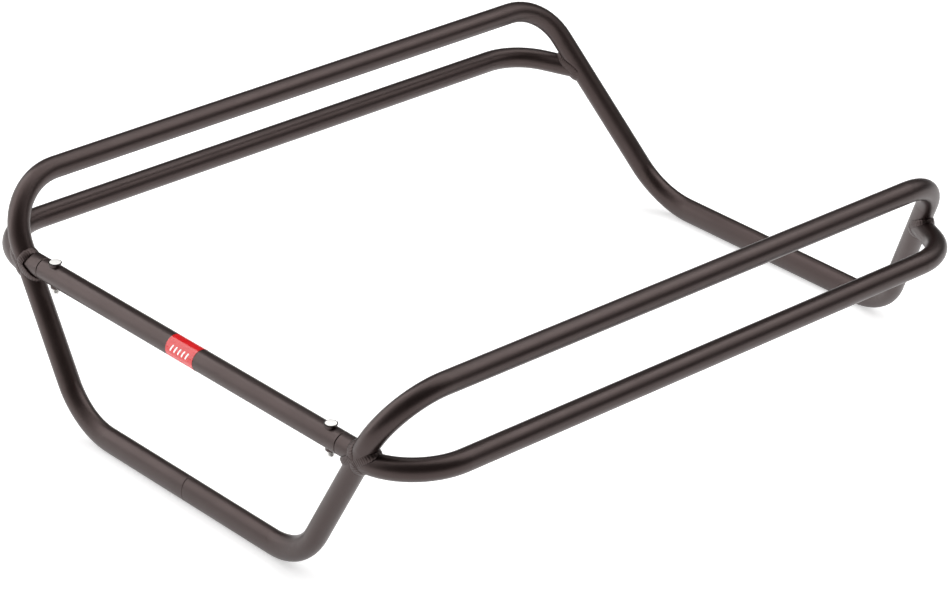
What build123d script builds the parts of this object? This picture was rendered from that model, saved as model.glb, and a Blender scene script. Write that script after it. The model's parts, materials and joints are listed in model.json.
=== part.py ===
from build123d import *
import math
import os

# Rear cargo rack of welded aluminium tube, in millimetres.
# +X points forward along the rack, +Y to its left, +Z up, and it stands on z = 0.
# The tubes are laid out from the middle of the rear bottom tube, and every solid is
# moved at the end so that the middle of the rack's footprint is the origin.

# Tube
TUBE_R = 8.0
WALL = 1.8
OVAL_HALF_WIDTH = 7.0    # the bottom runs are pressed to an upright oval
OVAL_HALF_HEIGHT = 9.75
OVAL_STEPS = 8           # sections through which the oval turns round in each bottom bend

# Main hoop, as the corner points of its centreline
BOTTOM_HALF = 119.5      # half the width at the bottom corners
TOP_HALF = 206.0         # half the width between the upper rails
TOP_Z = 163.8
REAR_TOP_X = -1.8
FRONT_TOP_X = 514.0
FRONT_BOTTOM_X = 572.2
BOTTOM_BEND_R = 52.0
TOP_BEND_R = 45.5

# Side rails
SIDE_HALF = 226.3
SIDE_Z = 116.5
SIDE_WELD_Z = 112.5      # height at which each end meets its upright
SIDE_REAR_X = 4.0
SIDE_FRONT_X = 505.8
SIDE_BEND_R = 45.0

# Crossbar between the rear uprights
BAR_X = 0.0
BAR_Z = 115.6
BAR_HALF = 159.5         # half its length: where it meets the stubs
SEAM_GAP = 0.3
SEAM_CHAMFER = 0.35      # outer corner taken off where two tube ends meet
BOLT_Y = 147.5

# Spigots and joint sleeves inside the tubes
SLIDE_GAP = 0.1
SPIGOT_INNER_Y = 139.0
SPIGOT_OUTER_Y = 164.5
SPIGOT_WALL = 2.2
SLEEVE_HALF = 20.0
SLEEVE_WALL = 1.5

# Clamp bolts, their saddle washers and threaded bosses
BOLT_R = 2.5
BOLT_HOLE_R = 2.75
THREAD_R = 2.56          # crest of the boss's thread, just clear of the bolt
HEAD_R = 4.75
HEAD_RIM = 0.75
HEAD_HEIGHT = 1.1
SADDLE_R = 4.2
SADDLE_TOP = 1.2         # washer left above the crossbar's crown
SADDLE_GAP = 0.1
BOSS_R = 3.7
BOSS_DROP = 9.6          # underside of the boss below the crossbar's axis
BOLT_DROP = 14.3         # end of the bolt below the crossbar's axis
TIP_CHAMFER = 0.5
KEY_FLATS = 2.5          # hex socket in the bolt's lower end
KEY_DEPTH = 3.0

# Weld beads
BEAD_R = 2.8             # round bead, centred on the line where two tubes meet

# Label round the crossbar
LABEL_LENGTH = 28.5
LABEL_SKIN = 0.15
LABEL_FROM = 42.0        # degrees from +X towards +Z
LABEL_TO = 262.0

INNER_R = TUBE_R - WALL

REAR_BOTTOM = Vector(0, BOTTOM_HALF, OVAL_HALF_HEIGHT)
REAR_TOP = Vector(REAR_TOP_X, TOP_HALF, TOP_Z)
FRONT_TOP = Vector(FRONT_TOP_X, TOP_HALF, TOP_Z)
FRONT_BOTTOM = Vector(FRONT_BOTTOM_X, BOTTOM_HALF, OVAL_HALF_HEIGHT)
REAR_SEAM = Vector(0, 0, OVAL_HALF_HEIGHT)
FRONT_SEAM = Vector(FRONT_BOTTOM_X, 0, OVAL_HALF_HEIGHT)

parts = {}


def point_at_height(low, high, z):
    """The point at height z on the line from low to high."""
    return low + (high - low) * ((z - low.Z) / (high.Z - low.Z))


def cylinder_between(start, end, radius):
    """A solid round bar from one point to another."""
    axis = end - start
    base = Plane(origin=start, z_dir=axis)
    return extrude(base * Circle(radius), amount=axis.length)


def round_tube(corners, bend_radius, radius):
    """A solid bar of one radius along straight runs joined by tangent bends."""
    path = FilletPolyline(*corners, radius=bend_radius)
    section = Plane(origin=corners[0], z_dir=corners[1] - corners[0]) * Circle(radius)
    return sweep(section, path=path)


def bend_frame(before, corner, after, bend_radius):
    """Where a bend starts, its length, and a function giving point and direction along it."""
    way_in = (corner - before).normalized()
    way_out = (after - corner).normalized()
    turn = math.radians(way_in.get_angle(way_out))
    setback = bend_radius * math.tan(turn / 2)
    start = corner - way_in * setback
    inward = (way_out - way_in * way_in.dot(way_out)).normalized()

    def along(angle):
        point = start + way_in * (bend_radius * math.sin(angle))
        point += inward * (bend_radius * (1 - math.cos(angle)))
        heading = way_in * math.cos(angle) + inward * math.sin(angle)
        return point, heading

    return start, corner + way_out * setback, turn, along


def oval_section(point, heading, share, inset):
    """The tube's section: upright oval at share 0, round at share 1, made smaller by inset."""
    blend = share * share * (3 - 2 * share)
    half_width = OVAL_HALF_WIDTH + (TUBE_R - OVAL_HALF_WIDTH) * blend - inset
    half_height = OVAL_HALF_HEIGHT + (TUBE_R - OVAL_HALF_HEIGHT) * blend - inset
    across = Vector(1, 0, 0)
    across = (across - heading * heading.dot(across)).normalized()
    return Plane(origin=point, x_dir=across, z_dir=heading) * Ellipse(half_width, half_height)


def bottom_end(seam, corner, top, inset):
    """From the seam in the middle of a bottom run, out and up round the bottom bend."""
    start, end, turn, along = bend_frame(seam, corner, top, BOTTOM_BEND_R)
    heading = (corner - seam).normalized()
    run = extrude(oval_section(seam, heading, 0, inset), amount=(start - seam).length)
    sections = []
    for step in range(OVAL_STEPS + 1):
        share = step / OVAL_STEPS
        point, direction = along(turn * share)
        sections.append(oval_section(point, direction, share, inset))
    return run + loft(sections), end


def hoop_solid(inset):
    """The left half of the hoop as a solid bar, smaller all round by inset."""
    rear, rear_end = bottom_end(REAR_SEAM, REAR_BOTTOM, REAR_TOP, inset)
    front, front_end = bottom_end(FRONT_SEAM, FRONT_BOTTOM, FRONT_TOP, inset)
    rails = round_tube([rear_end, REAR_TOP, FRONT_TOP, front_end], TOP_BEND_R, TUBE_R - inset)
    return rear + rails + front


def break_corner(tube, y, count):
    """Chamfers the outer edges of a tube's ends at one y: count is how many ends lie there."""
    around = tube.edges().filter_by_position(Axis.Y, y - SEAM_GAP / 2, y + SEAM_GAP / 2)
    return chamfer(around.sort_by(SortBy.LENGTH)[-count:], SEAM_CHAMFER)


def make_hoop():
    """The left half of the hoop, open at the seams where its twin butts against it."""
    return break_corner(hoop_solid(0) - hoop_solid(WALL), 0, 2)


def make_sleeve(seam):
    """The oval sleeve inside a butt joint of the two hoop halves."""
    heading = Vector(0, 1, 0)
    start = seam - heading * SLEEVE_HALF
    outside = oval_section(start, heading, 0, WALL + SLIDE_GAP)
    inside = oval_section(start, heading, 0, WALL + SLIDE_GAP + SLEEVE_WALL)
    return extrude(outside, amount=2 * SLEEVE_HALF) - extrude(inside, amount=2 * SLEEVE_HALF)


REAR_WELD = point_at_height(REAR_BOTTOM, REAR_TOP, SIDE_WELD_Z)
FRONT_WELD = point_at_height(FRONT_BOTTOM, FRONT_TOP, SIDE_WELD_Z)
SIDE_REAR = Vector(SIDE_REAR_X, SIDE_HALF, SIDE_Z)
SIDE_FRONT = Vector(SIDE_FRONT_X, SIDE_HALF, SIDE_Z)
BAR_WELD = point_at_height(REAR_BOTTOM, REAR_TOP, BAR_Z)

# Solid bars that the welded ends are cut to fit
HOOP_BAR = round_tube([REAR_BOTTOM, REAR_TOP, FRONT_TOP, FRONT_BOTTOM], TOP_BEND_R, TUBE_R)
RAIL_CORNERS = [REAR_WELD, SIDE_REAR, SIDE_FRONT, FRONT_WELD]
RAIL_BAR = round_tube(RAIL_CORNERS, SIDE_BEND_R, TUBE_R)


def largest(shape):
    """The largest solid of a shape, without the chips that a cut leaves."""
    return shape.solids().sort_by(SortBy.VOLUME)[-1]


def make_side_rail():
    """One side rail, its ends cut to the uprights' round surfaces."""
    rail = RAIL_BAR - round_tube(RAIL_CORNERS, SIDE_BEND_R, INNER_R)
    return largest(rail - HOOP_BAR)


def bar_section(y, radius):
    """A disc across the crossbar's axis, facing +Y."""
    return Plane(origin=(BAR_X, y, BAR_Z), z_dir=(0, 1, 0)) * Circle(radius)


def bar_piece(inner_y, outer_y, outer_r, inner_r):
    """A length of tube on the crossbar's axis."""
    length = outer_y - inner_y
    outside = extrude(bar_section(inner_y, outer_r), amount=length)
    return outside - extrude(bar_section(inner_y, inner_r), amount=length)


def bolt_cylinder(radius, low, high):
    """A bar on the left bolt's axis, between two heights above the crossbar's axis."""
    start = Plane(origin=(BAR_X, BOLT_Y, BAR_Z + low))
    return extrude(start * Circle(radius), amount=high - low)


STUB_BAR = extrude(bar_section(BAR_HALF + SEAM_GAP, TUBE_R), amount=BAR_WELD.Y - BAR_HALF - SEAM_GAP)


def make_stub():
    """A short tube on the inside of a rear upright, cut to its round surface."""
    tube = bar_piece(BAR_HALF + SEAM_GAP, BAR_WELD.Y, TUBE_R, INNER_R)
    return largest(break_corner(tube, BAR_HALF + SEAM_GAP, 1) - HOOP_BAR - RAIL_BAR)


def make_spigot():
    outer_r = INNER_R - SLIDE_GAP
    tube = bar_piece(SPIGOT_INNER_Y, SPIGOT_OUTER_Y, outer_r, outer_r - SPIGOT_WALL)
    return tube - bolt_cylinder(BOLT_HOLE_R, -TUBE_R, TUBE_R)


def make_boss():
    blank = bolt_cylinder(BOSS_R, -BOSS_DROP, 0)
    blank -= extrude(bar_section(SPIGOT_INNER_Y, INNER_R), amount=SPIGOT_OUTER_Y - SPIGOT_INNER_Y)
    blank -= Pos(0, 0, INNER_R) * bolt_cylinder(BOSS_R, -INNER_R, 0)
    boss = blank.solids().sort_by(Axis.Z)[0]
    return boss - bolt_cylinder(THREAD_R, -BOSS_DROP, 0)


def make_crossbar():
    """The removable bar, drilled for the bolts above and the bosses below."""
    tube = bar_piece(-BAR_HALF, BAR_HALF, TUBE_R, INNER_R)
    tube = break_corner(break_corner(tube, BAR_HALF, 1), -BAR_HALF, 1)
    for hole in (bolt_cylinder(BOLT_HOLE_R, 0, TUBE_R + 1), bolt_cylinder(BOSS_R, -TUBE_R - 1, 0)):
        tube -= hole
        tube -= mirror(hole, about=Plane.XZ)
    return tube


def make_saddle():
    blank = bolt_cylinder(SADDLE_R, INNER_R, TUBE_R + SADDLE_TOP)
    clearance = extrude(bar_section(BOLT_Y - 2 * SADDLE_R, TUBE_R + SADDLE_GAP), amount=4 * SADDLE_R)
    return blank - clearance - bolt_cylinder(BOLT_HOLE_R, 0, TUBE_R + SADDLE_TOP)


def make_bolt():
    """Low round head, shank, and a hex socket in the lower end."""
    seat = TUBE_R + SADDLE_TOP
    crown = (0, HEAD_HEIGHT)
    rim = (HEAD_R, HEAD_RIM)
    sag = HEAD_HEIGHT - HEAD_RIM
    dome_r = (HEAD_R * HEAD_R + sag * sag) / (2 * sag)
    with BuildPart() as head:
        with BuildSketch(Plane.XZ):
            with BuildLine():
                Polyline((0, 0), (HEAD_R, 0), rim)
                RadiusArc(rim, crown, -dome_r)
                Line(crown, (0, 0))
            make_face()
        revolve(axis=Axis.Z)
    bolt = Pos(BAR_X, BOLT_Y, BAR_Z + seat) * head.part
    shank = bolt_cylinder(BOLT_R, -BOLT_DROP, seat)
    shank = chamfer(shank.edges().sort_by(Axis.Z)[0], TIP_CHAMFER)
    bolt += shank
    across_corners = KEY_FLATS / math.sqrt(3)
    tip = Plane(origin=(BAR_X, BOLT_Y, BAR_Z - BOLT_DROP))
    return bolt - extrude(tip * RegularPolygon(across_corners, 6), amount=KEY_DEPTH)


def make_label():
    """A thin skin round part of the crossbar."""
    skin = bar_piece(-LABEL_LENGTH / 2, LABEL_LENGTH / 2, TUBE_R + LABEL_SKIN, TUBE_R)
    middle = math.radians((LABEL_FROM + LABEL_TO) / 2)
    half_turn = math.radians((LABEL_TO - LABEL_FROM) / 2)
    far = 4 * TUBE_R
    wedge = []
    for share in (-1, -0.5, 0, 0.5, 1):
        angle = middle + half_turn * share
        wedge.append((BAR_X + far * math.cos(angle), BAR_Z + far * math.sin(angle)))
    outline = [(BAR_X, BAR_Z)] + wedge + [(BAR_X, BAR_Z)]
    face = make_face(Polyline(*[(x, -LABEL_LENGTH, z) for x, z in outline]))
    return skin & extrude(face, amount=2 * LABEL_LENGTH, dir=(0, 1, 0))


def bead_arc(joint, upright, branch_way, slope):
    """Filler metal along half of the line where two tubes meet, which is half an ellipse."""
    across = upright.cross(branch_way).normalized()
    reach = TUBE_R / math.sin(math.radians(upright.get_angle(slope)))
    plane = Plane(origin=joint, x_dir=slope, z_dir=slope.cross(across))
    line = Edge.make_ellipse(reach, TUBE_R, plane, start_angle=-90, end_angle=90)
    bead = sweep(Plane(origin=line @ 0, z_dir=line % 0) * Circle(BEAD_R), path=line)
    return bead + Pos(line @ 0) * Sphere(BEAD_R) + Pos(line @ 1) * Sphere(BEAD_R)


def make_bead(low, high, joint, branch_way, branch):
    """The bead round the end of a tube that meets an upright from the side."""
    upright = (high - low).normalized()
    bead = bead_arc(joint, upright, branch_way, (branch_way + upright).normalized())
    bead += bead_arc(joint, upright, branch_way, (branch_way - upright).normalized())
    return bead - HOOP_BAR - branch


def beside_upright(low, high, joint, outward):
    """A block on one side of an upright, from the plane through its axis and X."""
    upright = (high - low).normalized()
    away = upright.cross(Vector(1, 0, 0)) * (1 if outward else -1)
    base = Plane(origin=joint, x_dir=upright, z_dir=away)
    return extrude(base * Rectangle(6 * TUBE_R, 6 * TUBE_R), amount=3 * TUBE_R)


def keep_left(name, shape):
    """Records a piece on the rack's left, and its mirror image on the right."""
    parts[name + "_left"] = shape
    parts[name + "_right"] = mirror(shape, about=Plane.XZ)


keep_left("hoop", make_hoop())
parts["hoop_sleeve_rear"] = make_sleeve(REAR_SEAM)
parts["hoop_sleeve_front"] = make_sleeve(FRONT_SEAM)
keep_left("side_rail", make_side_rail())
keep_left("crossbar_stub", make_stub())
keep_left("crossbar_spigot", make_spigot())
keep_left("threaded_boss", make_boss())
parts["crossbar"] = make_crossbar()
keep_left("saddle_washer", make_saddle())
keep_left("clamp_bolt", make_bolt())
parts["crossbar_label"] = make_label()

outer_side = beside_upright(REAR_BOTTOM, REAR_TOP, REAR_WELD, True)
inner_side = beside_upright(REAR_BOTTOM, REAR_TOP, REAR_WELD, False)
rear_way = (SIDE_REAR - REAR_WELD).normalized()
front_way = (SIDE_FRONT - FRONT_WELD).normalized()
stub_way = Vector(0, -1, 0)
rear_bead = make_bead(REAR_BOTTOM, REAR_TOP, REAR_WELD, rear_way, RAIL_BAR) & outer_side
front_bead = make_bead(FRONT_BOTTOM, FRONT_TOP, FRONT_WELD, front_way, RAIL_BAR)
stub_bead = make_bead(REAR_BOTTOM, REAR_TOP, BAR_WELD, stub_way, STUB_BAR) & inner_side
keep_left("weld_rail_rear", largest(rear_bead - STUB_BAR))
keep_left("weld_rail_front", largest(front_bead))
keep_left("weld_stub", largest(stub_bead - RAIL_BAR))

whole = Compound(children=[shape for part in parts.values() for shape in part.solids()])
box = whole.bounding_box()
shift = Location((-(box.min.X + box.max.X) / 2, 0, -box.min.Z))
print("size", box.size, "shift", shift.position)

os.makedirs("parts", exist_ok=True)
for name, part in parts.items():
    solids = part.solids()
    print(name, len(solids), "solids", round(sum(s.volume for s in solids), 1), "mm3")
    placed = [shift * solid for solid in solids]
    shape = placed[0] if len(placed) == 1 else Compound(children=placed)
    export_step(shape, f"parts/{name}.step")
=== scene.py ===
import json
import math
import random

import bpy
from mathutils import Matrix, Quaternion, Vector


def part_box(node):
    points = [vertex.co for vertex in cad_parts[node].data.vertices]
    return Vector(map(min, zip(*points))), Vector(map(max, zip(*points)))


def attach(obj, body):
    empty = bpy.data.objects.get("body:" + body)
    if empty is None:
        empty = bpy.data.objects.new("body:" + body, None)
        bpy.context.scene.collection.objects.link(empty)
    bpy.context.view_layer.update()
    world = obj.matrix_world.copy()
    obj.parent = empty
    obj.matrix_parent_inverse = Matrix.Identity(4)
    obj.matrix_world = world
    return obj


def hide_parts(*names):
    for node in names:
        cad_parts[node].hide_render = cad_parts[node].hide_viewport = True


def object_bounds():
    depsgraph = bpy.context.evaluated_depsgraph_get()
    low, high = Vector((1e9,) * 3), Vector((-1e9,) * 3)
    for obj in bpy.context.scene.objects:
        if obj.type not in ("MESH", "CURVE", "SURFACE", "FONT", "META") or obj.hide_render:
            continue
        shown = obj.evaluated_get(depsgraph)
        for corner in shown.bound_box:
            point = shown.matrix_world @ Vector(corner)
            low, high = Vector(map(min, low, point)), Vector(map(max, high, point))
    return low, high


# Rear cargo rack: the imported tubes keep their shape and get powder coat, and the welds, bolts
# and label mark are made here. Lengths are in metres, angles in degrees.

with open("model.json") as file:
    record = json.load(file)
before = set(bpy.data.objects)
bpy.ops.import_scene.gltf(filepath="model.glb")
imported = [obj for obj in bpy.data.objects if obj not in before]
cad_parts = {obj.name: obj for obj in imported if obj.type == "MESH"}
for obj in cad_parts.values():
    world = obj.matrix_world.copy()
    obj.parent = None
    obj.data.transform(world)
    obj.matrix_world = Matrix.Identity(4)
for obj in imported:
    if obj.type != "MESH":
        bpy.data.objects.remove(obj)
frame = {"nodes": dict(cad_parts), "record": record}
nodes = frame["nodes"]
cad_low, cad_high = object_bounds()

MM = 0.001
SIDES = {"left": 1, "right": -1}


def middle(node):
    """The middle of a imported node's box."""
    low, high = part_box(node)
    return (low + high) / 2


# ---------------------------------------------------------------- the tubes' layout
# In millimetres from the middle of the rear bottom run, on the floor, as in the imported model

BAR_HEIGHT = 115.6
TUBE_R = 8.0
BOTTOM_HALF = 119.5
BOTTOM_HEIGHT = 9.75
TOP_HALF = 206.0
TOP_HEIGHT = 163.8
REAR_TOP_X = -1.8
FRONT_TOP_X = 514.0
FRONT_BOTTOM_X = 572.2
RAIL_HALF = 226.3
RAIL_HEIGHT = 116.5
RAIL_WELD_HEIGHT = 112.5
RAIL_REAR_X = 4.0
RAIL_FRONT_X = 505.8

ORIGIN = middle("crossbar") - Vector((0, 0, BAR_HEIGHT)) * MM


def spot(x, y, z):
    return ORIGIN + Vector((x, y, z)) * MM


# ---------------------------------------------------------------- material helpers

NOISE_BAND = (0.3, 0.7)    # nearly all of a noise texture's values lie between these
TINT_BAND = (0.35, 0.65)

def new_material(name, **sockets):
    """A material whose shader has these constant values, and a place for texture nodes."""
    material = bpy.data.materials.new(name)
    material.use_nodes = True
    shader = material.node_tree.nodes["Principled BSDF"]
    for socket, value in sockets.items():
        shader.inputs[socket.replace("_", " ")].default_value = value
    return material, shader


def add_noise(material, size, detail=2.0, stretch=(1, 1, 1)):
    """Noise in object space whose features are about size metres across."""
    tree = material.node_tree
    coordinates = tree.nodes.new("ShaderNodeTexCoord")
    mapping = tree.nodes.new("ShaderNodeMapping")
    mapping.inputs["Scale"].default_value = stretch
    noise = tree.nodes.new("ShaderNodeTexNoise")
    noise.inputs["Scale"].default_value = 1 / size
    noise.inputs["Detail"].default_value = detail
    tree.links.new(coordinates.outputs["Object"], mapping.inputs["Vector"])
    tree.links.new(mapping.outputs["Vector"], noise.inputs["Vector"])
    return noise.outputs["Fac"]


def vary(material, fac, socket, low, high):
    """Lets noise move one of the shader's numbers between low and high."""
    tree = material.node_tree
    spread = tree.nodes.new("ShaderNodeMapRange")
    spread.inputs["From Min"].default_value, spread.inputs["From Max"].default_value = NOISE_BAND
    spread.inputs["To Min"].default_value = low
    spread.inputs["To Max"].default_value = high
    tree.links.new(fac, spread.inputs["Value"])
    tree.links.new(spread.outputs["Result"], socket)


def tint(material, fac, socket, dark, light):
    """Lets noise move a colour between two colours."""
    tree = material.node_tree
    ramp = tree.nodes.new("ShaderNodeValToRGB")
    for stop, position, colour in zip(ramp.color_ramp.elements, TINT_BAND, (dark, light)):
        stop.position = position
        stop.color = (*colour, 1)
    tree.links.new(fac, ramp.inputs["Fac"])
    tree.links.new(ramp.outputs["Color"], socket)


def add_bumps(material, shader, layers):
    """Stacks bump layers, each given as noise output, strength and depth in metres."""
    tree = material.node_tree
    below = None
    for fac, strength, depth in layers:
        bump = tree.nodes.new("ShaderNodeBump")
        bump.inputs["Strength"].default_value = strength
        bump.inputs["Distance"].default_value = depth
        tree.links.new(fac, bump.inputs["Height"])
        if below:
            tree.links.new(below, bump.inputs["Normal"])
        below = bump.outputs["Normal"]
    tree.links.new(below, shader.inputs["Normal"])


# ---------------------------------------------------------------- materials


def make_powder_coat():
    """Satin dark brown-grey powder coat with a faint orange peel."""
    material, shader = new_material("powder_coat_satin", Specular_IOR_Level=0.80,
                                    Specular_Tint=(1.0, 0.77, 0.74, 1))
    tint(material, add_noise(material, 0.8 * MM, 3), shader.inputs["Base Color"],
         (0.0058, 0.0026, 0.0020), (0.0086, 0.0042, 0.0034))
    vary(material, add_noise(material, 25 * MM, 3), shader.inputs["Roughness"], 0.34, 0.41)
    orange_peel = add_noise(material, 1.6 * MM, 1)
    grain = add_noise(material, 0.3 * MM, 2)
    add_bumps(material, shader, [(orange_peel, 0.5, 0.02 * MM), (grain, 0.5, 0.006 * MM)])
    return material


def make_bolt_steel():
    """Bright plated steel with faint turning marks round the bolt's axis."""
    material, shader = new_material("bolt_steel_bright", Metallic=1.0)
    tint(material, add_noise(material, 1.2 * MM, 4), shader.inputs["Base Color"],
         (0.80, 0.79, 0.77), (0.90, 0.89, 0.87))
    vary(material, add_noise(material, 0.7 * MM, 4), shader.inputs["Roughness"], 0.38, 0.48)
    turning = add_noise(material, 0.25 * MM, 2, (0.3, 0.3, 3))
    add_bumps(material, shader, [(turning, 0.35, 0.004 * MM)])
    return material


def make_faced_steel_painted_glow():
    """The matt, nearly white flat of each bolt's head, which also glows faintly: a painted
    highlight.
    """
    material, shader = new_material("bolt_facing_painted_glow", Metallic=0.85, Emission_Strength=0.3,
                                    Emission_Color=(1.0, 0.98, 0.94, 1))
    tint(material, add_noise(material, 1.2 * MM, 4), shader.inputs["Base Color"],
         (0.86, 0.85, 0.82), (0.93, 0.92, 0.90))
    vary(material, add_noise(material, 0.7 * MM, 4), shader.inputs["Roughness"], 0.46, 0.54)
    return material


def make_dark_rim_steel():
    """Dark steel on the rim and side of each bolt's head, darker than its flat."""
    material, shader = new_material("bolt_rim_dark", Metallic=0.6)
    tint(material, add_noise(material, 0.8 * MM, 3), shader.inputs["Base Color"],
         (0.020, 0.016, 0.014), (0.036, 0.030, 0.027))
    vary(material, add_noise(material, 0.6 * MM, 3), shader.inputs["Roughness"], 0.26, 0.36)
    return material


def make_bare_aluminium():
    """Drawn aluminium, for the sleeves and spigots inside the tubes."""
    material, shader = new_material("aluminium_drawn", Metallic=1.0)
    tint(material, add_noise(material, 2 * MM, 3), shader.inputs["Base Color"],
         (0.68, 0.68, 0.69), (0.80, 0.80, 0.81))
    vary(material, add_noise(material, 3 * MM, 3, (4, 0.3, 4)),
         shader.inputs["Roughness"], 0.28, 0.45)
    add_bumps(material, shader, [(add_noise(material, 0.5 * MM, 2, (4, 0.2, 4)), 0.4, 0.01 * MM)])
    return material


def make_label_film():
    """Glossy red printed film."""
    material, shader = new_material("label_red", Coat_Weight=0.6, Coat_Roughness=0.06)
    tint(material, add_noise(material, 4 * MM, 3), shader.inputs["Base Color"],
         (0.74, 0.003, 0.006), (0.80, 0.005, 0.009))
    vary(material, add_noise(material, 6 * MM, 2), shader.inputs["Roughness"], 0.18, 0.26)
    add_bumps(material, shader, [(add_noise(material, 5 * MM, 1), 0.3, 0.02 * MM)])
    return material


def make_label_print_painted_glow():
    """White ink under the same gloss, with a faint glow painted in as light."""
    material, shader = new_material("label_white_painted_glow", Coat_Weight=0.6, Coat_Roughness=0.09,
                                    Emission_Color=(1.0, 0.98, 0.97, 1), Emission_Strength=0.35)
    tint(material, add_noise(material, 1 * MM, 3), shader.inputs["Base Color"],
         (0.92, 0.91, 0.91), (0.96, 0.96, 0.96))
    vary(material, add_noise(material, 2 * MM, 2), shader.inputs["Roughness"], 0.2, 0.3)
    return material


powder_coat = make_powder_coat()
bolt_steel = make_bolt_steel()
faced_steel_painted_glow = make_faced_steel_painted_glow()
dark_rim_steel = make_dark_rim_steel()
bare_aluminium = make_bare_aluminium()
label_film = make_label_film()
label_print_painted_glow = make_label_print_painted_glow()

SLOT_MATERIALS = {
    "powder_coat": powder_coat,
    "bolt_steel": bolt_steel,
    "bare_aluminium": bare_aluminium,
    "label_film": label_film,
}
for subpart in frame["record"]["subparts"]:
    for material_slot in nodes[subpart["node"]].material_slots:
        material_slot.material = SLOT_MATERIALS[subpart["material_slot"]]


# ---------------------------------------------------------------- mesh helpers


def make_piece(name, points, faces, material, body, sharp=40):
    """A smooth-shaded mesh piece that rides on a body."""
    mesh = bpy.data.meshes.new(name)
    mesh.from_pydata(points, [], faces)
    mesh.validate()
    mesh.shade_smooth()
    mesh.set_sharp_from_angle(angle=math.radians(sharp))
    mesh.materials.append(material)
    piece = bpy.data.objects.new(name, mesh)
    bpy.context.scene.collection.objects.link(piece)
    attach(piece, body)
    return piece


def ring_faces(rings, around, closed):
    """Quads between successive rings of points."""
    faces = []
    for ring in range(rings if closed else rings - 1):
        here = ring * around
        there = ((ring + 1) % rings) * around
        for step in range(around):
            following = (step + 1) % around
            faces.append((here + step, there + step, there + following, here + following))
    return faces


# ---------------------------------------------------------------- weld beads

BEAD_LEG = 3.1             # from the joint line to the bead's edge, along each tube
BEAD_SINK = 0.15           # how far its edges lie under the tubes' surfaces
BEAD_CROWN = 0.55          # how far its middle stands above the line between its edges
BEAD_ROOT = 1.5            # how far it reaches down past the joint line
RIPPLE_PITCH = 1.7
RIPPLE_HEIGHT = 0.26
RIPPLE_LAG = 0.5           # how far the ripple's edges trail behind its middle, in ripples
KINK_ROUNDING = 1.6        # the joint line's two halves meet at a kink, which the bead rounds off
RIPPLE_SHARPNESS = 0.6     # below 1 the ripples have round crests and narrow valleys
RIPPLE_MIDDLE = 0.6        # the part of a ripple's height that lies at the bead's own surface
UNEVENNESS = 0.05          # how much one ripple may be wider or narrower than the next
MEASURING_STEPS = 200
STEPS_PER_RIPPLE = 14
STEPS_ROUND_BEAD = 20


def joint_line(joint, upright, branch, steps):
    """Points round the line where two equal tubes meet, with both tubes' outward normals."""
    first = branch.orthogonal().normalized()
    second = branch.cross(first)
    lean = branch.dot(upright)
    line = []
    for step in range(steps):
        angle = 2 * math.pi * step / steps
        outward = first * math.cos(angle) + second * math.sin(angle)
        rise = TUBE_R * outward.dot(upright)
        along = (lean * rise + math.hypot(rise, KINK_ROUNDING)) / (1 - lean ** 2)
        offset = outward * TUBE_R + branch * along
        from_axis = offset - upright * offset.dot(upright)
        line.append((joint + offset * MM, outward, from_axis.normalized()))
    return line


def on_tube(place, joint, axis, radius):
    """A place near a tube through the joint, moved to a radius in millimetres from its axis."""
    along = axis * (place - joint).dot(axis)
    return joint + along + (place - joint - along).normalized() * radius * MM


def make_bead(name, node, joint, upright, branch, seed):
    """A rippled bead of filler round the end of a branch tube, in place of the plain packed one."""
    chance = random.Random(seed)
    coarse = joint_line(joint, upright, branch, MEASURING_STEPS)
    gaps = [(coarse[step][0] - coarse[step - 1][0]).length for step in range(MEASURING_STEPS)]
    length = sum(gaps) / MM
    ripples = round(length / RIPPLE_PITCH)
    steps = ripples * STEPS_PER_RIPPLE
    line = joint_line(joint, upright, branch, steps)
    swell = [chance.uniform(-1, 1) for _ in range(ripples)]
    points = []
    travelled = 0.0
    for step in range(steps):
        point, branch_normal, upright_normal = line[step]
        before = line[step - 1][0]
        after = line[(step + 1) % steps][0]
        travelled += (point - before).length / MM if step else 0
        heading = (after - before).normalized()
        way = math.copysign(1, heading.cross(branch_normal).dot(branch))
        along_branch = heading.cross(branch_normal).normalized() * way
        along_upright = upright_normal.cross(heading).normalized() * way
        near = on_tube(point + along_upright * BEAD_LEG * MM, joint, upright, TUBE_R - BEAD_SINK)
        far = on_tube(point + along_branch * BEAD_LEG * MM, joint, branch, TUBE_R - BEAD_SINK)
        centre = (near + far) / 2
        across = (far - near) / 2
        half_width = across.length / MM
        outward = across.cross(heading).normalized()
        outward *= math.copysign(1, outward.dot(branch_normal + upright_normal))
        joint_rise = (point - centre).dot(outward) / MM
        crown = BEAD_CROWN + max(0, joint_rise)
        root = BEAD_ROOT + max(0, -joint_rise)
        place = travelled / length * ripples
        for turn in range(STEPS_ROUND_BEAD):
            angle = 2 * math.pi * turn / STEPS_ROUND_BEAD
            phase = place - RIPPLE_LAG * (1 - math.cos(angle))
            crest = abs(math.sin(math.pi * phase)) ** RIPPLE_SHARPNESS
            uneven = 1 + UNEVENNESS * swell[int(phase) % ripples]
            bump = RIPPLE_HEIGHT * (crest - RIPPLE_MIDDLE)
            wide = (uneven + bump / half_width) * math.sin(angle)
            if math.cos(angle) > 0:
                high = (crown * uneven + bump) * math.cos(angle)
            else:
                high = root * math.cos(angle)
            points.append(centre + across * wide + outward * high * MM)
    faces = ring_faces(steps, STEPS_ROUND_BEAD, True)
    bead = make_piece(name, points, faces, powder_coat, "rack", 60)
    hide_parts(node)


def upright_at(low, high, height):
    """Where an upright's axis passes a height, and its direction."""
    axis = (high - low).normalized()
    return low + axis * ((ORIGIN.z + height * MM - low.z) / axis.z), axis


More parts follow.
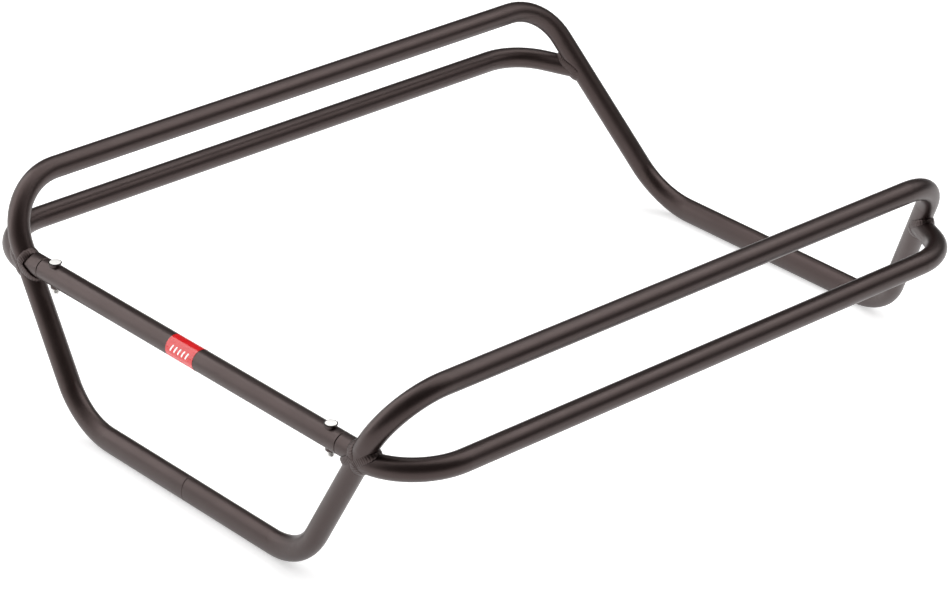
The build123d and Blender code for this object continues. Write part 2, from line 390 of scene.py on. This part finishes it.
for side_name, side in SIDES.items():
    rear_low = spot(0, side * BOTTOM_HALF, BOTTOM_HEIGHT)
    rear_high = spot(REAR_TOP_X, side * TOP_HALF, TOP_HEIGHT)
    front_low = spot(FRONT_BOTTOM_X, side * BOTTOM_HALF, BOTTOM_HEIGHT)
    front_high = spot(FRONT_TOP_X, side * TOP_HALF, TOP_HEIGHT)
    rear_joint, rear_axis = upright_at(rear_low, rear_high, RAIL_WELD_HEIGHT)
    front_joint, front_axis = upright_at(front_low, front_high, RAIL_WELD_HEIGHT)
    stub_joint, _ = upright_at(rear_low, rear_high, BAR_HEIGHT)
    rear_branch = (spot(RAIL_REAR_X, side * RAIL_HALF, RAIL_HEIGHT) - rear_joint).normalized()
    front_branch = (spot(RAIL_FRONT_X, side * RAIL_HALF, RAIL_HEIGHT) - front_joint).normalized()
    stub_branch = Vector((0, -side, 0))
    make_bead(f"bead_rail_rear_{side_name}", f"weld_rail_rear_{side_name}",
              rear_joint, rear_axis, rear_branch, 11 + side)
    make_bead(f"bead_rail_front_{side_name}", f"weld_rail_front_{side_name}",
              front_joint, front_axis, front_branch, 21 + side)
    make_bead(f"bead_stub_{side_name}", f"weld_stub_{side_name}",
              stub_joint, rear_axis, stub_branch, 31 + side)


# ---------------------------------------------------------------- clamp bolts

HEAD_HEIGHT = 1.1
HEAD_FLAT_R = 4.0
HEAD_SAG = 0.1             # the flat top is very slightly domed
HEAD_RIM = 0.75            # height of the widest part, under the rounded shoulder
HEAD_BAND = 0.1            # how far the widest part goes straight down
HEAD_SEAT_R = 4.1          # below it the head's side slopes in to this radius
HEAD_STEPS = 8
SHANK_R = 2.5
THREAD_DEPTH = 0.42
THREAD_PITCH = 0.8
THREAD_LENGTH = 13.0
TIP_LENGTH = 1.2           # the shank's plain rounded end
SOCKET_FLATS = 2.5
SOCKET_DEPTH = 3.0
SOCKET_CHAMFER = 0.1
SOCKET_CONE = 0.6          # the drill's cone at the socket's bottom
ROWS_PER_THREAD = 10
STEPS_ROUND_BOLT = 60


def head_profile(radius):
    """Radius and height above the seat, from the crown down to the head's underside."""
    profile = []
    for step in range(HEAD_STEPS + 1):
        share = step / HEAD_STEPS
        profile.append((HEAD_FLAT_R * share, HEAD_HEIGHT - HEAD_SAG * share ** 2))
    shoulder = HEAD_HEIGHT - HEAD_SAG - HEAD_RIM
    for step in range(1, HEAD_STEPS + 1):
        angle = math.pi / 2 * step / HEAD_STEPS
        out = HEAD_FLAT_R + (radius - HEAD_FLAT_R) * math.sin(angle)
        profile.append((out, HEAD_RIM + shoulder * math.cos(angle)))
    profile.append((radius, HEAD_RIM - HEAD_BAND))
    profile.append((HEAD_SEAT_R, 0))
    profile.append((SHANK_R, 0))
    return profile


def thread_radius(angle, drop, start, end):
    """The shank's radius at a place on the thread, which fades in and runs out before the tip."""
    phase = (drop / THREAD_PITCH - angle / (2 * math.pi)) % 1
    groove = 1 - abs(2 * phase - 1)
    fade_in = max(0, (drop - start) / THREAD_PITCH)
    fade_out = max(0, (end - TIP_LENGTH - drop) / THREAD_PITCH)
    fade = min(1, fade_in, fade_out)
    into_tip = max(0, (drop - end) / TIP_LENGTH + 1)
    tip = SHANK_R / 2 * (1 - math.sqrt(1 - into_tip ** 2))
    return SHANK_R - THREAD_DEPTH * groove * fade - tip


def socket_radius(angle):
    """A hexagon's edge in a direction from its middle."""
    sector = math.pi / 3
    return SOCKET_FLATS / 2 / math.cos((angle + sector / 2) % sector - sector / 2)


def make_bolt(side_name):
    """Low round head with a dark rim, shank with a cut thread, and a hex socket in its end."""
    node = f"clamp_bolt_{side_name}"
    low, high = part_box(node)
    axis = (low + high) / 2
    head_r = (high.x - low.x) / 2 / MM
    seat = high.z - HEAD_HEIGHT * MM
    shank = (seat - low.z) / MM
    thread_start = shank - THREAD_LENGTH
    turns = [2 * math.pi * step / STEPS_ROUND_BOLT for step in range(STEPS_ROUND_BOLT)]
    rows = [[(out, up) for _ in turns] for out, up in head_profile(head_r)[1:]]
    rows.append([(SHANK_R, -thread_start) for _ in turns])
    fine_rows = int(THREAD_LENGTH / THREAD_PITCH * ROWS_PER_THREAD)
    for row in range(1, fine_rows + 1):
        drop = thread_start + THREAD_LENGTH * row / fine_rows
        rows.append([(thread_radius(turn, drop, thread_start, shank), -drop) for turn in turns])
    rows.append([(socket_radius(turn) + SOCKET_CHAMFER, -shank) for turn in turns])
    rows.append([(socket_radius(turn), SOCKET_CHAMFER - shank) for turn in turns])
    rows.append([(socket_radius(turn), SOCKET_DEPTH - shank) for turn in turns])
    points = []
    for row in rows:
        for turn, (out, up) in zip(turns, row):
            reach = Vector((math.cos(turn), math.sin(turn), 0)) * out
            points.append(Vector((axis.x, axis.y, seat)) + (reach + Vector((0, 0, up))) * MM)
    faces = ring_faces(len(rows), STEPS_ROUND_BOLT, False)
    crown = len(points)
    points.append(Vector((axis.x, axis.y, high.z)))
    points.append(Vector((axis.x, axis.y, seat + (SOCKET_DEPTH + SOCKET_CONE - shank) * MM)))
    last = (len(rows) - 1) * STEPS_ROUND_BOLT
    for step in range(STEPS_ROUND_BOLT):
        following = (step + 1) % STEPS_ROUND_BOLT
        faces.append((crown, step, following))
        faces.append((crown + 1, last + following, last + step))
    bolt = make_piece(f"bolt_{side_name}", points, faces, bolt_steel,
                      f"bolt_{side_name}")
    # The head's flat takes the faintly glowing steel, a painted highlight.
    bolt.data.materials.append(faced_steel_painted_glow)
    bolt.data.materials.append(dark_rim_steel)
    for face in bolt.data.polygons:
        from_axis = math.hypot(face.center.x - axis.x, face.center.y - axis.y)
        if face.center.z > seat:
            face.material_index = 1 if from_axis < HEAD_FLAT_R * MM else 2
    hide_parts(node)


for side_name in SIDES:
    make_bolt(side_name)


# ---------------------------------------------------------------- the label's mark

MARK_DASHES = 5
MARK_SPACING = 4.0
MARK_LENGTH = 5.4
MARK_SLANT = 24
MARK_HALF_WIDTH = 0.62
MARK_SKIN = 0.05
MARK_MIDDLE_ANGLE = 158    # from +X towards +Z, round the crossbar
MARK_STATIONS = 24
MARK_BLUNTNESS = 0.02      # keeps a dash's ends from shrinking to a point


def make_label_mark():
    """A row of plain slanted dashes on the label, each a curved strip with round ends."""
    _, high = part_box("crossbar_label")
    centre = middle("crossbar")
    radius = (high.z - centre.z) / MM + MARK_SKIN
    slant = math.radians(MARK_SLANT)
    points = []
    faces = []
    for dash in range(MARK_DASHES):
        start = len(points)
        place = (dash - (MARK_DASHES - 1) / 2) * MARK_SPACING
        for station in range(MARK_STATIONS + 1):
            along = MARK_LENGTH * (station / MARK_STATIONS - 0.5)
            to_end = MARK_LENGTH / 2 - abs(along)
            inside = min(1, to_end / MARK_HALF_WIDTH)
            half = MARK_HALF_WIDTH * math.sqrt(max(MARK_BLUNTNESS, 1 - (1 - inside) ** 2))
            for edge in (-half, half):
                sideways = place + along * math.sin(slant) + edge * math.cos(slant)
                upward = along * math.cos(slant) - edge * math.sin(slant)
                angle = math.radians(MARK_MIDDLE_ANGLE) - upward / radius
                out = Vector((math.cos(angle), 0, math.sin(angle))) * radius
                points.append(centre + (out + Vector((0, -sideways, 0))) * MM)
        for station in range(MARK_STATIONS):
            corner = start + 2 * station
            faces.append((corner, corner + 1, corner + 3, corner + 2))
    mark = make_piece("label_mark", points, faces, label_print_painted_glow, "rack")
    skin = mark.modifiers.new("skin", "SOLIDIFY")
    skin.thickness = MARK_SKIN * MM
    skin.offset = 0


make_label_mark()


# ---------------------------------------------------------------- stage, light and camera

FLOOR_HALF = 6.0
LIGHT_DISTANCE = 2.0
SURROUND = 0.08            # what the rack sees where there is no softbox

# Name, azimuth, elevation, width and height in degrees, radiance. Two banks face each other across
# the rack, the left one lower and brighter, and the camera's side is left dark.
SOFTBOXES = (
    ("left_low", -135, 21, 30, 42, 2.35),
    ("left_high", -135, 50, 30, 16, 1.4),
    ("left_behind", -165, 41, 30, 33, 2.4),
    ("left_behind_low", -165, 12, 30, 25, 1.1),
    ("left_front", -105, 29, 30, 58, 0.5),
    ("left_top", -135, 66, 90, 16, 1.4),
    ("right", 60, 33, 60, 17, 1.2),
    ("right_high", 60, 50, 60, 16, 2.6),
    ("right_behind_high", 120, 50, 60, 16, 1.1),
    ("right_top_behind", 135, 66, 90, 16, 2.0),
    ("right_top", 45, 66, 90, 16, 1.5),
    ("overhead", 0, 90, 32, 32, 1.6),
)


def make_floor():
    material, shader = new_material("floor_white", Roughness=0.9, Emission_Strength=0.52,
                                    Emission_Color=(1, 1, 1, 1))
    tint(material, add_noise(material, 0.6, 2), shader.inputs["Base Color"],
         (0.90, 0.90, 0.90), (0.92, 0.92, 0.92))
    mesh = bpy.data.meshes.new("floor")
    corners = [(-FLOOR_HALF, -FLOOR_HALF), (FLOOR_HALF, -FLOOR_HALF), (FLOOR_HALF, FLOOR_HALF),
               (-FLOOR_HALF, FLOOR_HALF)]
    mesh.from_pydata([(x, y, cad_low.z) for x, y in corners], [], [(0, 1, 2, 3)])
    mesh.materials.append(material)
    floor = bpy.data.objects.new("floor", mesh)
    bpy.context.scene.collection.objects.link(floor)


def aim(thing, target, roll=0.0):
    """Turns a camera or light to face a point."""
    turn = (target - thing.location).to_track_quat("-Z", "Y")
    thing.rotation_mode = "QUATERNION"
    thing.rotation_quaternion = turn @ Quaternion((0, 0, 1), math.radians(roll))


def direction(azimuth, elevation):
    """The way towards a place seen from the rack: azimuth 0 is -Y, and 90 is +X."""
    azimuth, elevation = math.radians(azimuth), math.radians(elevation)
    level = math.cos(elevation)
    return Vector((math.sin(azimuth) * level, -math.cos(azimuth) * level, math.sin(elevation)))


def make_softbox(name, azimuth, elevation, across, upright, radiance):
    """A rectangular light that faces the rack, its size given as angles seen from there."""
    light = bpy.data.lights.new(name, "AREA")
    light.shape = "RECTANGLE"
    level = math.cos(math.radians(elevation)) if elevation < 90 else 1
    light.size = 2 * LIGHT_DISTANCE * math.tan(math.radians(across / 2)) * level
    light.size_y = 2 * LIGHT_DISTANCE * math.tan(math.radians(upright / 2))
    light.energy = radiance * math.pi * light.size * light.size_y
    box = bpy.data.objects.new(name, light)
    centre = (cad_low + cad_high) / 2
    box.location = centre + direction(azimuth, elevation) * LIGHT_DISTANCE
    aim(box, centre)
    box.visible_camera = False
    bpy.context.scene.collection.objects.link(box)


def make_world(brightness):
    """A faint even surround, which the camera sees as white."""
    world = bpy.data.worlds.new("surround")
    world.use_nodes = True
    tree = world.node_tree
    background = tree.nodes["Background"]
    path = tree.nodes.new("ShaderNodeLightPath")
    level = tree.nodes.new("ShaderNodeMapRange")
    level.inputs["To Min"].default_value = brightness
    level.inputs["To Max"].default_value = 1.0
    tree.links.new(path.outputs["Is Camera Ray"], level.inputs["Value"])
    tree.links.new(level.outputs["Result"], background.inputs["Strength"])
    background.inputs["Color"].default_value = (1, 1, 1, 1)
    bpy.context.scene.world = world


CAMERA_AZIMUTH = -43.07
CAMERA_ELEVATION = 27.48
CAMERA_ROLL = 1.65
CAMERA_DISTANCE = 2.698
CAMERA_LENS = 142.36
AIM_FROM_CROSSBAR = Vector((0.2645, 0.0034, -0.0500))


def make_camera():
    data = bpy.data.cameras.new("camera")
    data.sensor_width = 36
    data.lens = CAMERA_LENS
    data.clip_start = 0.05
    data.clip_end = 50
    camera = bpy.data.objects.new("camera", data)
    target = middle("crossbar") + AIM_FROM_CROSSBAR
    camera.location = target + direction(CAMERA_AZIMUTH, CAMERA_ELEVATION) * CAMERA_DISTANCE
    aim(camera, target, CAMERA_ROLL)
    bpy.context.scene.collection.objects.link(camera)
    bpy.context.scene.camera = camera


make_floor()
for softbox in SOFTBOXES:
    make_softbox(*softbox)
make_world(SURROUND)
make_camera()
bpy.context.scene.view_settings.view_transform = "Standard"
